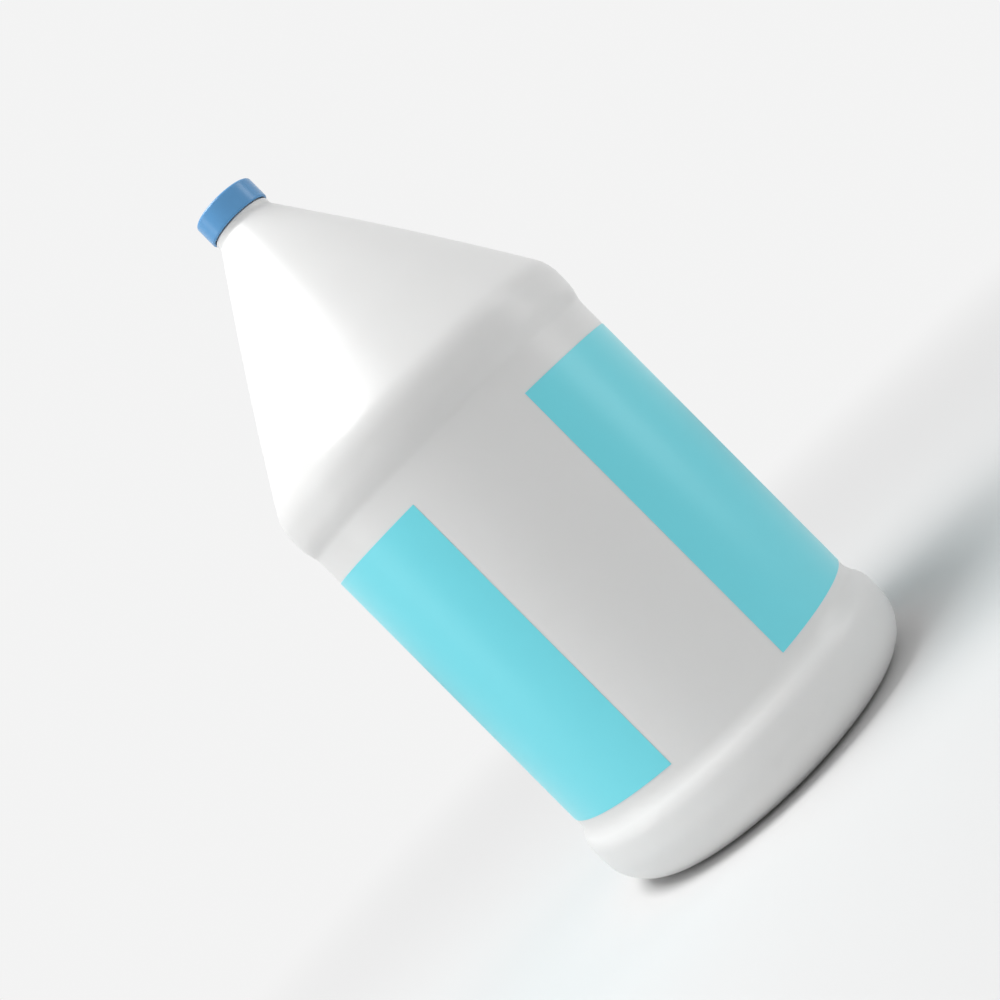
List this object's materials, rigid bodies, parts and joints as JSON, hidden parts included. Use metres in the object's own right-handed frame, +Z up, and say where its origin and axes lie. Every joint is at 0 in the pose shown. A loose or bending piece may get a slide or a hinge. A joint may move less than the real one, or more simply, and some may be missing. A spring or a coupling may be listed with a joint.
{
  "type": "bleach bottle",
  "caption": "Round one-gallon plastic jug with a conical shoulder, a short threaded neck, a smooth screw cap with a liner, and bare wrap labels either side of a bare strip.",
  "frame": {"origin": "centre of the base's standing ring, on the surface that the jug stands on", "axes": "+Z up the jug's axis to the cap; the bare strip between the labels faces -Y; the left label is on -X"},
  "size_m": [0.1558, 0.1558, 0.3152],
  "materials": {
    "jug_plastic": "soft gloss, opaque white",
    "cap_plastic": "glossy mid blue",
    "liner_foam": "matt white foam",
    "label_film": "satin cyan film"
  },
  "bodies": {
    "jug": {"bottle": "jug_plastic", "left_label": "label_film", "right_label": "label_film"},
    "liner": {"cap_liner": "liner_foam"},
    "cap": {"cap": "cap_plastic"}
  },
  "joints": [
    {"name": "cap_lift", "type": "slide", "parent": "jug", "child": "liner", "axis": [0, 0, 1], "range_m": [0, 0.00847]},
    {"name": "cap_turn", "type": "hinge", "parent": "liner", "child": "cap", "pos_m": [0, 0, 0.305], "axis": [0, 0, 1], "range_deg": [0, 720]}
  ],
  "couplings": [
    {"joint": "cap_lift", "follows": "cap_turn", "m_per_rad": 0.00067375}
  ]
}
